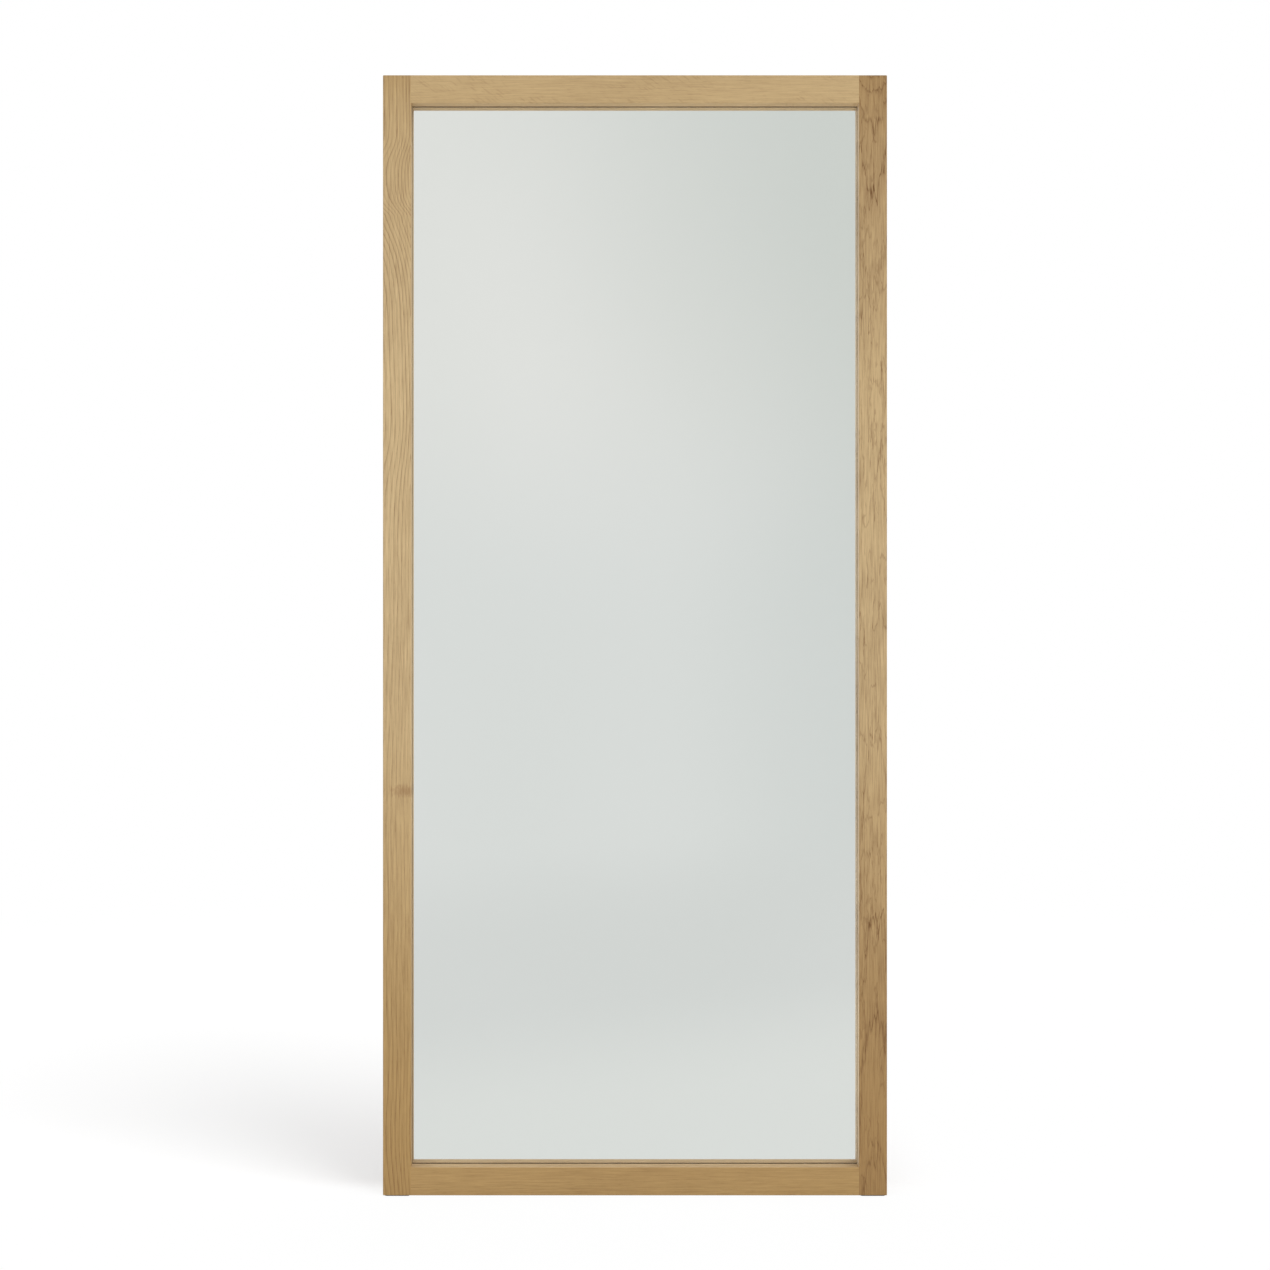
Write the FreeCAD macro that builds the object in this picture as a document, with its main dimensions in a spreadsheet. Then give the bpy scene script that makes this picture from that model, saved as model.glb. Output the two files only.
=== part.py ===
import FreeCAD, Part
import math
import os
import re
import Sketcher

# A full-length floor mirror in a solid oak frame, in millimetres.
# X runs to the right as seen from the front, Y from the front to the back, Z up.
# The origin is on the floor, under the middle of the whole object's box.

# Driving dimensions. Each is one cell of the sheet, named after its key.
SIZES = {
    # the oak frame
    "frame_width": 900.0,
    "frame_height": 2000.0,
    "frame_depth": 45.0,
    "member_width": 50.0,  # face width of the stiles and rails
    "reveal_depth": 25.0,  # from the frame's face back to its glazing lip
    "arris_radius": 1.5,  # easing of the timber's edges
    "glass_rebate_width": 12.0,  # beyond the sight edge
    "panel_rebate_width": 24.0,  # beyond the sight edge
    # two dowels in each butt joint
    "dowel_hole_diameter": 10.0,
    "dowel_length": 60.0,
    "dowel_spacing": 22.0,
    "dowel_chamfer": 1.0,
    "dowel_clearance": 0.05,  # glue gap all round
    "dowel_end_gap": 1.0,
    # what lies in the rebate, from the front to the back
    "tape_thickness": 1.0,
    "tape_setback": 3.0,  # from the sight edge, so that the tape stays out of view
    "glass_thickness": 4.0,
    "glass_arris": 0.5,
    "edge_clearance": 3.0,  # between the pane's edge and the timber, filled by the blocks
    "film_thickness": 0.2,
    "film_margin": 1.0,
    "foam_thickness": 2.0,
    "foam_margin": 5.0,
    "panel_thickness": 5.0,
    "panel_clearance": 1.0,
    # blocks round the pane's edge
    "setting_block_length": 60.0,
    "setting_block_offset": 200.0,  # from the centre line
    "spacer_length": 40.0,
    "side_spacer_end": 400.0,  # from the frame's top and bottom
    "top_spacer_offset": 200.0,  # from the centre line
    # countersunk screws round the back panel
    "panel_screw_diameter": 3.0,
    "panel_screw_head": 6.0,
    "panel_screw_length": 16.0,
    "stile_screw_count": 7,
    "stile_screw_end": 110.0,  # from the frame's top and bottom
    "rail_screw_count": 3,
    "rail_screw_end": 100.0,  # from the rail's ends
    "screw_hole_clearance": 0.2,  # round the shank, in what the screw holds down
    "screw_seat_clearance": 0.05,  # round the head, and round the shank in the timber
    "screw_head_rim": 0.2,
    "screw_tip_length": 3.0,
    "screw_end_gap": 1.0,
    "recess_depth": 1.1,
    "recess_width": 0.9,
    # strap hangers with a D-ring
    "hanger_width": 14.0,
    "hanger_length": 52.0,  # from the eye's axis to the plate's lower end
    "hanger_thickness": 2.0,
    "hanger_corner_radius": 4.0,
    "hanger_drop": 300.0,  # from the frame's top to the eye's axis
    "eye_clearance": 0.3,
    "eye_gap": 0.8,
    "upper_hole_drop": 24.0,  # from the eye's axis
    "lower_hole_drop": 43.0,
    "hanger_screw_diameter": 3.5,
    "hanger_screw_length": 20.0,
    "ring_wire": 3.0,
    "ring_bend_radius": 3.0,
    "ring_side_clearance": 0.5,
    "ring_side_length": 1.0,
    # rubber
    "bumper_diameter": 12.0,
    "bumper_thickness": 3.0,
    "bumper_rounding": 1.0,
    "bumper_end": 30.0,  # from the frame's top and bottom
    "pad_thickness": 1.5,
    "pad_inset": 3.0,
    "pad_corner_radius": 4.0,
}

# Worked-out dimensions, as formulas of the ones above and of each other.
DERIVED = {
    "opening_width": "frame_width - 2 * member_width",
    "opening_height": "frame_height - 2 * member_width",
    "pane_cover": "glass_rebate_width - edge_clearance",
    "pane_width": "opening_width + 2 * pane_cover",
    "pane_height": "opening_height + 2 * pane_cover",
    "panel_cover": "panel_rebate_width - panel_clearance",
    "panel_width": "opening_width + 2 * panel_cover",
    "panel_height": "opening_height + 2 * panel_cover",
    "tape_width": "pane_cover - tape_setback",
    # depths from the frame's face
    "glass_depth": "reveal_depth + tape_thickness",
    "film_depth": "glass_depth + glass_thickness",
    "foam_depth": "film_depth + film_thickness",
    "shoulder_depth": "foam_depth + foam_thickness",
    "panel_back_depth": "shoulder_depth + panel_thickness",
    # screws sit in the middle of the shoulder that the back panel bears on
    "screw_line": "(glass_rebate_width + panel_rebate_width) / 2",
    "stile_screw_pitch": "(frame_height - 2 * stile_screw_end) / (stile_screw_count - 1)",
    "rail_screw_pitch": "(opening_width - 2 * rail_screw_end) / (rail_screw_count - 1)",
    # a screw's head is sunk no deeper than its strap is thick
    "hanger_head_sink": "hanger_thickness - screw_head_rim - screw_seat_clearance",
    "hanger_screw_head": "hanger_screw_diameter + 2 * hanger_head_sink",
    # the rolled eye and its ring
    "eye_inner": "ring_wire / 2 + eye_clearance",
    "eye_outer": "eye_inner + hanger_thickness",
    "hanger_stand": "2 * eye_outer",
    "ring_bar": "hanger_width / 2 + ring_side_clearance",
    "ring_half_width": "ring_bar + ring_bend_radius",
    "ring_side_end": "ring_bend_radius + ring_side_length",
    # places in the whole object
    "front_y": "-(frame_depth + hanger_stand) / 2",
    "back_y": "front_y + frame_depth",
    "frame_bottom": "pad_thickness",
    "frame_top": "frame_bottom + frame_height",
    "sight_bottom": "frame_bottom + member_width",
    "sight_top": "frame_top - member_width",
    "back_strip_middle": "frame_width / 2 - (member_width - panel_rebate_width) / 2",
    "eye_y": "back_y + eye_outer",
    "eye_z": "frame_top - hanger_drop",
}

OUT_FOLDER = "parts"
UPSIDE_DOWN = FreeCAD.Rotation(FreeCAD.Vector(0, 1, 0), 180)
ALONG_X = FreeCAD.Rotation(FreeCAD.Vector(0, 1, 0), 90)
TO_THE_BACK = FreeCAD.Rotation(FreeCAD.Vector(1, 0, 0), -90)
UPRIGHT = FreeCAD.Rotation()
TOUCH = 1e-3  # how near an edge must lie to the place that it is looked for at
COUNTERSINK_ANGLE = 90  # in degrees: a screw's head widens as fast as it rises, on each side

doc = FreeCAD.newDocument("floor_mirror")
nodes = []


# ---------------------------------------------------------------- sizes and expressions


def fill_sheet():
    """Write the driving dimensions into the sheet, one named cell each."""
    sheet = doc.addObject("Spreadsheet::Sheet", "Sizes")
    for row, (name, number) in enumerate(SIZES.items(), 1):
        sheet.set(f"A{row}", name)
        sheet.set(f"B{row}", str(number))
        sheet.setAlias(f"B{row}", name)
    doc.recompute()
    return sheet


def spelled_out(formula):
    """The formula with worked-out names replaced by their own formulas, and sizes by their cells."""

    def replace(match):
        name = match.group(0)
        if name in DERIVED:
            return "(" + spelled_out(DERIVED[name]) + ")"
        return "Sizes." + name

    return re.sub(r"[a-z]\w*", replace, str(formula))


def bind(item, path, formula):
    """Bind a property, or a part of one, to a formula of the sheet's cells."""
    item.setExpression(path, spelled_out(formula))


def number(formula):
    """What a formula comes to."""
    return float(sizes.evalExpression(spelled_out(formula)))


def place(item, x, y, z, rotation=UPRIGHT):
    """Place an object by three formulas, after a fixed turn."""
    item.Placement = FreeCAD.Placement(FreeCAD.Vector(), rotation)
    bind(item, ".Placement.Base.x", x)
    bind(item, ".Placement.Base.y", y)
    bind(item, ".Placement.Base.z", z)


# ---------------------------------------------------------------- sketches and features


def new_body(label, keep=True):
    """An empty body. A kept one is a node of the finished mirror."""
    body = doc.addObject("PartDesign::Body", label)
    body.Label = label
    if keep:
        nodes.append(body)
    return body


def new_sketch(body, role, offset=0):
    """A sketch on one of the body's origin planes, moved along the plane's normal by a formula."""
    plane = next(item for item in body.Origin.OriginFeatures if item.Role == role)
    sketch = body.newObject("Sketcher::SketchObject", "Sketch")
    sketch.AttachmentSupport = [(plane, "")]
    sketch.MapMode = "FlatFace"
    bind(sketch, ".AttachmentOffset.Base.z", offset)
    return sketch


def pin_point(sketch, geometry, end, x, y):
    """Hold a point of a sketch at two formulas, measured from the sketch's origin."""
    for kind, formula in (("DistanceX", x), ("DistanceY", y)):
        rule = Sketcher.Constraint(kind, -1, 1, geometry, end, number(formula))
        index = sketch.addConstraint(rule)
        sketch.renameConstraint(index, f"{kind}{index}")
        bind(sketch, f"Constraints.{kind}{index}", formula)


def draw_lines(sketch, corners, closed=True):
    """Draw lines through corners given as pairs of formulas, and return the number of each line."""
    points = [FreeCAD.Vector(number(x), number(y), 0) for x, y in corners]
    count = len(points) if closed else len(points) - 1
    lines = []
    for index in range(count):
        line = Part.LineSegment(points[index], points[(index + 1) % len(points)])
        lines.append(sketch.addGeometry(line, False))
        pin_point(sketch, lines[-1], 1, *corners[index])
    for first, second in zip(lines, lines[1:]):
        sketch.addConstraint(Sketcher.Constraint("Coincident", first, 2, second, 1))
    if closed:
        sketch.addConstraint(Sketcher.Constraint("Coincident", lines[-1], 2, lines[0], 1))
    else:
        pin_point(sketch, lines[-1], 2, *corners[-1])
    return lines


def draw_box(sketch, left, bottom, right, top):
    """Draw a rectangle between two corners given as formulas."""
    draw_lines(sketch, [(left, bottom), (right, bottom), (right, top), (left, top)])


def draw_circles(sketch, centres, radius):
    """Draw circles of one radius round centres given as pairs of formulas."""
    for x, y in centres:
        centre = FreeCAD.Vector(number(x), number(y), 0)
        circle = Part.Circle(centre, FreeCAD.Vector(0, 0, 1), number(radius))
        geometry = sketch.addGeometry(circle, False)
        pin_point(sketch, geometry, 3, x, y)
        rule = Sketcher.Constraint("Radius", geometry, number(radius))
        index = sketch.addConstraint(rule)
        sketch.renameConstraint(index, f"Radius{index}")
        bind(sketch, f"Constraints.Radius{index}", radius)


def join_with_arc(sketch, before, after, centre, start_degrees, end_degrees):
    """Draw an anticlockwise arc between two lines' ends: each is a line's number and its end."""
    middle = FreeCAD.Vector(number(centre[0]), number(centre[1]), 0)
    radius = (sketch.getPoint(*before) - middle).Length
    circle = Part.Circle(middle, FreeCAD.Vector(0, 0, 1), radius)
    angles = math.radians(start_degrees), math.radians(end_degrees)
    arc = sketch.addGeometry(Part.ArcOfCircle(circle, *angles), False)
    sketch.addConstraint(Sketcher.Constraint("Coincident", arc, 1, *before))
    sketch.addConstraint(Sketcher.Constraint("Coincident", arc, 2, *after))
    return arc


def hold_centre(sketch, arc, kind, formula):
    """Hold an arc's centre along one direction, which settles the arc between its two ends."""
    index = sketch.addConstraint(Sketcher.Constraint(kind, -1, 1, arc, 3, number(formula)))
    sketch.renameConstraint(index, f"Centre{index}")
    bind(sketch, f"Constraints.Centre{index}", formula)


def add_pad(body, sketch, length, backwards=False):
    """Pad a sketch along its normal, or the other way."""
    pad = body.newObject("PartDesign::Pad", "Pad")
    pad.Profile = sketch
    pad.Reversed = backwards
    bind(pad, "Length", length)
    doc.recompute()


def cut_pocket(body, sketch, depth, along_normal=False):
    """Cut a sketch into the body, against the sketch's normal or along it."""
    before = body.Shape.Volume
    pocket = body.newObject("PartDesign::Pocket", "Pocket")
    pocket.Profile = sketch
    pocket.Reversed = along_normal
    bind(pocket, "Length", depth)
    doc.recompute()
    if not body.Shape.Volume < before:
        raise RuntimeError(f"{body.Label}: {pocket.Name} cuts nothing")


def cut_countersunk_holes(body, sketch, shank, head):
    """Drill through holes for countersunk screws, entered along the sketch's normal."""
    before = body.Shape.Volume
    hole = body.newObject("PartDesign::Hole", "Hole")
    hole.Profile = sketch
    doc.recompute()
    hole.DepthType = "ThroughAll"
    hole.HoleCutType = "Countersink"
    hole.HoleCutCustomValues = True
    hole.Reversed = True
    bind(hole, "Diameter", f"{shank} + 2 * screw_hole_clearance")
    bind(hole, "HoleCutDiameter", f"{head} + 2 * (screw_head_rim + screw_seat_clearance)")
    hole.HoleCutCountersinkAngle = COUNTERSINK_ANGLE
    doc.recompute()
    if not body.Shape.Volume < before:
        raise RuntimeError(f"{body.Label}: the countersunk holes cut nothing")


def edges_at(shape, places):
    """The names of the straight edges at given places: x, y and z, each None along the edge."""
    found = []
    for index, edge in enumerate(shape.Edges, 1):
        first, last = edge.Vertexes[0].Point, edge.Vertexes[-1].Point
        middle = edge.valueAt((edge.FirstParameter + edge.LastParameter) / 2)
        for spot in places:
            held = [axis for axis in range(3) if spot[axis] is not None]
            on_it = [
                abs(point[axis] - number(spot[axis])) < TOUCH
                for point in (first, middle, last)
                for axis in held
            ]
            if all(on_it):
                found.append(f"Edge{index}")
    return found


def dress_edges(body, kind, places, size):
    """Fillet or chamfer the body's edges at given places."""
    names = edges_at(body.Shape, places)
    if not names:
        raise RuntimeError(f"{body.Label}: no edges to ease")
    feature = body.newObject(kind, "Easing")
    feature.Base = (feature.BaseFeature, names)
    bind(feature, "Radius" if kind.endswith("Fillet") else "Size", size)
    doc.recompute()


def group_of(label, master, places, rotation):
    """A node of several like pieces: links to one master, each placed by three formulas."""
    links = []
    for index, (x, y, z) in enumerate(places, 1):
        link = doc.addObject("App::Link", f"{label}_{index}")
        link.LinkedObject = master
        place(link, x, y, z, rotation)
        links.append(link)
    group = doc.addObject("Part::Compound", label)
    group.Label = label
    group.Links = links
    nodes.append(group)


def slab(label, width, depth, height, keep=True):
    """A plain block with its lowest corner at its own origin."""
    box = doc.addObject("Part::Box", label)
    box.Label = label
    bind(box, "Length", width)
    bind(box, "Width", depth)
    bind(box, "Height", height)
    if keep:
        nodes.append(box)
    return box


# ---------------------------------------------------------------- the oak frame


def dowel_rows():
    """Places of a joint's two dowels across the member's width."""
    return [
        "member_width / 2 - dowel_spacing / 2",
        "member_width / 2 + dowel_spacing / 2",
    ]


def cut_rebates(body, left, right, ends):
    """Cut the glass rebate and the wider panel rebate from the back. The corners are formulas of a
    rebate's width, written as WIDE: left and right are its limits in X, ends its two limits in Z."""
    for width, depth in (
        ("glass_rebate_width", "frame_depth - reveal_depth"),
        ("panel_rebate_width", "frame_depth - shoulder_depth"),
    ):
        sketch = new_sketch(body, "XZ_Plane", "-frame_depth")
        corners = [text.replace("WIDE", width) for text in (left, ends[0], right, ends[1])]
        draw_box(sketch, *corners)
        cut_pocket(body, sketch, depth, along_normal=True)


def drill_pilot_holes(body, face_depth, centres, diameter, depth):
    """Drill blind holes for screws' shanks, from a face at a given depth behind the front."""
    sketch = new_sketch(body, "XZ_Plane", f"-({face_depth})")
    draw_circles(sketch, centres, f"{diameter} / 2 + screw_seat_clearance")
    cut_pocket(body, sketch, f"{depth} + screw_end_gap", along_normal=True)


def drill_dowel_holes(body, face_x, rows, along_normal):
    """Drill blind dowel holes into a joint face at face_x, at rows up the face."""
    sketch = new_sketch(body, "YZ_Plane", face_x)
    centres = [("reveal_depth / 2", row) for row in rows]
    draw_circles(sketch, centres, "dowel_hole_diameter / 2")
    cut_pocket(body, sketch, "dowel_length / 2 + dowel_end_gap", along_normal)


def ease_sight_edge(body):
    """Round the stile's front inner edge between the rails, where the opening is."""
    sketch = new_sketch(body, "XY_Plane", "member_width")
    corners = [
        ("member_width - arris_radius", 0),
        ("member_width", 0),
        ("member_width", "arris_radius"),
    ]
    lines = draw_lines(sketch, corners, closed=False)
    centre = ("member_width - arris_radius", "arris_radius")
    arc = join_with_arc(sketch, (lines[0], 1), (lines[-1], 2), centre, -90, 0)
    hold_centre(sketch, arc, "DistanceX", centre[0])
    cut_pocket(body, sketch, "opening_height", along_normal=True)


def make_stile(label, x, z, rotation, hanger_height):
    """An upright: X from its outer face to its joint face, Y from front to back, Z along its length.
    hanger_height is the eye's height along it, which a stile stood on its head counts from below."""
    body = new_body(label)
    sketch = new_sketch(body, "XZ_Plane")
    draw_box(sketch, 0, 0, "member_width", "frame_height")
    add_pad(body, sketch, "frame_depth", backwards=True)
    ends = "member_width - WIDE", "frame_height - member_width + WIDE"
    cut_rebates(body, "member_width - WIDE", "member_width", ends)
    rows = dowel_rows()
    rows += [f"frame_height - ({row})" for row in rows]
    drill_dowel_holes(body, "member_width", rows, along_normal=False)
    screws = range(int(number("stile_screw_count")))
    centres = [
        ("member_width - screw_line", f"stile_screw_end + {index} * stile_screw_pitch")
        for index in screws
    ]
    grip = "panel_screw_length - panel_thickness"
    drill_pilot_holes(body, "shoulder_depth", centres, "panel_screw_diameter", grip)
    toward_lower_end = -1 if rotation is UPRIGHT else 1
    centres = [
        ("(member_width - panel_rebate_width) / 2", f"{hanger_height} + {toward_lower_end} * {drop}")
        for drop in ("upper_hole_drop", "lower_hole_drop")
    ]
    grip = "hanger_screw_length - hanger_thickness"
    drill_pilot_holes(body, "frame_depth", centres, "hanger_screw_diameter", grip)
    ease_sight_edge(body)
    outer_edges = [(0, 0, None), (0, "frame_depth", None)]
    for end in (0, "frame_height"):
        outer_edges += [(None, 0, end), (None, "frame_depth", end), (0, None, end)]
    dress_edges(body, "PartDesign::Fillet", outer_edges, "arris_radius")
    place(body, x, "front_y", z, rotation)


def make_rail(label, x, z, rotation):
    """A cross member: X along its length, Y from front to back, Z from its outer face to the opening."""
    body = new_body(label)
    sketch = new_sketch(body, "XZ_Plane")
    draw_box(sketch, 0, 0, "opening_width", "member_width")
    add_pad(body, sketch, "frame_depth", backwards=True)
    cut_rebates(body, "0", "opening_width", ("member_width - WIDE", "member_width"))
    drill_dowel_holes(body, 0, dowel_rows(), along_normal=True)
    drill_dowel_holes(body, "opening_width", dowel_rows(), along_normal=False)
    screws = range(int(number("rail_screw_count")))
    centres = [
        (f"rail_screw_end + {index} * rail_screw_pitch", "member_width - screw_line")
        for index in screws
    ]
    grip = "panel_screw_length - panel_thickness"
    drill_pilot_holes(body, "shoulder_depth", centres, "panel_screw_diameter", grip)
    long_edges = [(None, 0, 0), (None, "frame_depth", 0), (None, 0, "member_width")]
    dress_edges(body, "PartDesign::Fillet", long_edges, "arris_radius")
    place(body, x, "front_y", z, rotation)


def make_frame():
    """Two stiles that run the full height and two rails between them, with dowelled butt joints."""
    hanger_height = "frame_height - hanger_drop"
    make_stile("left_stile", "-frame_width / 2", "frame_bottom", UPRIGHT, hanger_height)
    make_stile("right_stile", "frame_width / 2", "frame_top", UPSIDE_DOWN, "hanger_drop")
    make_rail("bottom_rail", "-opening_width / 2", "frame_bottom", UPRIGHT)
    make_rail("top_rail", "opening_width / 2", "frame_top", UPSIDE_DOWN)


def make_dowels():
    """Two dowels in each corner, half in the stile and half in the rail."""
    dowel = doc.addObject("Part::Cylinder", "dowel_blank")
    bind(dowel, "Radius", "dowel_hole_diameter / 2 - dowel_clearance")
    bind(dowel, "Height", "dowel_length")
    doc.recompute()
    chamfer = doc.addObject("Part::Chamfer", "dowel")
    chamfer.Base = dowel
    size = number("dowel_chamfer")
    rims = [
        (index, size, size)
        for index, edge in enumerate(dowel.Shape.Edges, 1)
        if edge.Closed and edge.Curve.TypeId == "Part::GeomCircle"
    ]
    chamfer.Edges = rims
    corners = {
        "bottom_left_dowels": ("-opening_width / 2", "frame_bottom + "),
        "bottom_right_dowels": ("opening_width / 2", "frame_bottom + "),
        "top_left_dowels": ("-opening_width / 2", "frame_top - "),
        "top_right_dowels": ("opening_width / 2", "frame_top - "),
    }
    for label, (joint_x, from_end) in corners.items():
        start_x = f"{joint_x} - dowel_length / 2"
        y = "front_y + reveal_depth / 2"
        places = [(start_x, y, f"{from_end}({row})") for row in dowel_rows()]
        group_of(label, chamfer, places, ALONG_X)


# ---------------------------------------------------------------- the pane and what holds it


def make_glazing_tape():
    """Four strips between the lip and the glass: two full-height, and two between them."""
    y = "front_y + reveal_depth"
    low = "sight_bottom - pane_cover"
    inner = "opening_width / 2 + tape_setback"
    for label, x in (
        ("left_glazing_tape", "-pane_width / 2"),
        ("right_glazing_tape", inner),
    ):
        place(slab(label, "tape_width", "tape_thickness", "pane_height"), x, y, low)
    for label, z in (
        ("bottom_glazing_tape", low),
        ("top_glazing_tape", "sight_top + tape_setback"),
    ):
        strip = slab(label, f"2 * ({inner})", "tape_thickness", "tape_width")
        place(strip, f"-({inner})", y, z)


def make_pane():
    """The silvered float glass, with ground edges."""
    body = new_body("mirror_pane")
    sketch = new_sketch(body, "XZ_Plane")
    draw_box(sketch, 0, 0, "pane_width", "pane_height")
    add_pad(body, sketch, "glass_thickness", backwards=True)
    edges = []
    for face in (0, "glass_thickness"):
        edges += [(None, face, end) for end in (0, "pane_height")]
        edges += [(side, face, None) for side in (0, "pane_width")]
    dress_edges(body, "PartDesign::Chamfer", edges, "glass_arris")
    place(body, "-pane_width / 2", "front_y + glass_depth", "sight_bottom - pane_cover")


def make_sheet(label, thickness, depth, margin):
    """A sheet behind the pane, smaller than it by a margin all round."""
    width = f"pane_width - 2 * {margin}"
    height = f"pane_height - 2 * {margin}"
    sheet = slab(label, width, thickness, height)
    low = f"sight_bottom - pane_cover + {margin}"
    place(sheet, f"-({width}) / 2", f"front_y + {depth}", low)


def make_blocks():
    """The blocks that carry and centre the pane: as thick as it, and as high as its edge gap."""
    y = "front_y + glass_depth"
    low = "sight_bottom - glass_rebate_width"
    high = "sight_top + pane_cover"
    block = slab("setting_block", "setting_block_length", "glass_thickness", "edge_clearance", False)
    places = [
        (f"{side} * setting_block_offset - setting_block_length / 2", y, low) for side in (-1, 1)
    ]
    group_of("setting_blocks", block, places, UPRIGHT)
    block = slab("top_spacer", "spacer_length", "glass_thickness", "edge_clearance", False)
    places = [(f"{side} * top_spacer_offset - spacer_length / 2", y, high) for side in (-1, 1)]
    group_of("top_spacers", block, places, UPRIGHT)
    block = slab("side_spacer", "edge_clearance", "glass_thickness", "spacer_length", False)
    heights = [
        "frame_bottom + side_spacer_end - spacer_length / 2",
        "frame_top - side_spacer_end - spacer_length / 2",
    ]
    sides = ["-pane_width / 2 - edge_clearance", "pane_width / 2"]
    places = [(x, y, z) for x in sides for z in heights]
    group_of("side_spacers", block, places, UPRIGHT)


def panel_screw_places():
    """Places of the panel's screws as pairs of formulas, X from the centre and Z from the floor."""
    places = []
    for side in (-1, 1):
        for index in range(int(number("stile_screw_count"))):
            x = f"{side} * (opening_width / 2 + screw_line)"
            places.append((x, f"frame_bottom + stile_screw_end + {index} * stile_screw_pitch"))
    for z in ("sight_bottom - screw_line", "sight_top + screw_line"):
        for index in range(int(number("rail_screw_count"))):
            x = f"-opening_width / 2 + rail_screw_end + {index} * rail_screw_pitch"
            places.append((x, z))
    return places


def make_back_panel():
    """The hardboard back, with a countersunk hole for each screw."""
    body = new_body("back_panel")
    sketch = new_sketch(body, "XZ_Plane")
    low = "sight_bottom - panel_cover"
    draw_box(sketch, "-panel_width / 2", low, "panel_width / 2", f"{low} + panel_height")
    add_pad(body, sketch, "panel_thickness", backwards=True)
    sketch = new_sketch(body, "XZ_Plane", "-panel_thickness")
    draw_circles(sketch, panel_screw_places(), "panel_screw_diameter / 2")
    cut_countersunk_holes(body, sketch, "panel_screw_diameter", "panel_screw_head")
    place(body, 0, "front_y + shoulder_depth", 0)


# ---------------------------------------------------------------- hardware


def make_screw(label, diameter, head, length):
    """A countersunk screw with a cross recess, its head's top at its own origin and its tip below."""
    body = new_body(label, keep=False)
    sketch = new_sketch(body, "XZ_Plane")
    outline = [
        (0, 0),
        (f"{head} / 2", 0),
        (f"{head} / 2", "-screw_head_rim"),
        (f"{diameter} / 2", f"-screw_head_rim - ({head} - {diameter}) / 2"),
        (f"{diameter} / 2", f"-{length} + screw_tip_length"),
        (0, f"-{length}"),
    ]
    draw_lines(sketch, outline)
    turn = body.newObject("PartDesign::Revolution", "Turn")
    turn.Profile = sketch
    turn.ReferenceAxis = (sketch, ["V_Axis"])
    doc.recompute()
    arms = [(f"{head} / 4", "recess_width / 2"), ("recess_width / 2", f"{head} / 4")]
    for half_x, half_y in arms:
        sketch = new_sketch(body, "XY_Plane")
        draw_box(sketch, f"-{half_x}", f"-{half_y}", half_x, half_y)
        cut_pocket(body, sketch, "recess_depth")
    return body


def make_panel_screws():
    """The screws round the back panel, their heads flush with it."""
    screw = make_screw(
        "panel_screw", "panel_screw_diameter", "panel_screw_head", "panel_screw_length"
    )
    y = "front_y + panel_back_depth"
    places = [(x, y, z) for x, z in panel_screw_places()]
    group_of("panel_screws", screw, places, TO_THE_BACK)


def make_hanger_plate(label, x):
    """A strap with a rolled eye at its top. Its own origin is the middle of the eye's axis."""
    body = new_body(label)
    half = "hanger_width / 2"
    sketch = new_sketch(body, "XZ_Plane", "eye_outer")
    draw_box(sketch, f"-{half}", "-hanger_length", half, 0)
    add_pad(body, sketch, "hanger_thickness", backwards=True)
    sketch = new_sketch(body, "YZ_Plane", f"-{half}")
    draw_circles(sketch, [(0, 0)], "eye_outer")
    add_pad(body, sketch, "hanger_width")
    sketch = new_sketch(body, "YZ_Plane", f"-{half}")
    draw_circles(sketch, [(0, 0)], "eye_inner")
    cut_pocket(body, sketch, "hanger_width", along_normal=True)
    sketch = new_sketch(body, "YZ_Plane", f"-{half}")
    draw_box(sketch, "-eye_inner", "-eye_outer", "-eye_inner + eye_gap", 0)
    cut_pocket(body, sketch, "hanger_width", along_normal=True)
    sketch = new_sketch(body, "XZ_Plane", "eye_inner")
    centres = [(0, "-upper_hole_drop"), (0, "-lower_hole_drop")]
    draw_circles(sketch, centres, "hanger_screw_diameter / 2")
    cut_countersunk_holes(body, sketch, "hanger_screw_diameter", "hanger_screw_head")
    corners = [(f"-{half}", None, "-hanger_length"), (half, None, "-hanger_length")]
    dress_edges(body, "PartDesign::Fillet", corners, "hanger_corner_radius")
    place(body, x, "eye_y", "eye_z")


def make_hanger_ring(label, x):
    """A D of round wire that hangs down from its straight bar. Its own origin is the bar's middle."""
    body = new_body(label)
    path = new_sketch(body, "XZ_Plane")
    side = "ring_half_width"
    (bar,) = draw_lines(path, [("-ring_bar", 0), ("ring_bar", 0)], closed=False)
    start, end = "-ring_bend_radius", "-ring_side_end"
    (right,) = draw_lines(path, [(side, start), (side, end)], closed=False)
    (left,) = draw_lines(path, [(f"-{side}", end), (f"-{side}", start)], closed=False)
    arc = join_with_arc(path, (right, 1), (bar, 2), ("ring_bar", start), 0, 90)
    hold_centre(path, arc, "DistanceX", "ring_bar")
    arc = join_with_arc(path, (bar, 1), (left, 2), ("-ring_bar", start), 90, 180)
    hold_centre(path, arc, "DistanceX", "-ring_bar")
    arc = join_with_arc(path, (left, 1), (right, 2), (0, end), 180, 360)
    hold_centre(path, arc, "DistanceY", end)
    section = new_sketch(body, "YZ_Plane")
    draw_circles(section, [(0, 0)], "ring_wire / 2")
    pipe = body.newObject("PartDesign::AdditivePipe", "Wire")
    pipe.Profile = section
    pipe.Spine = path
    doc.recompute()
    place(body, x, "eye_y", "eye_z")


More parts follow.
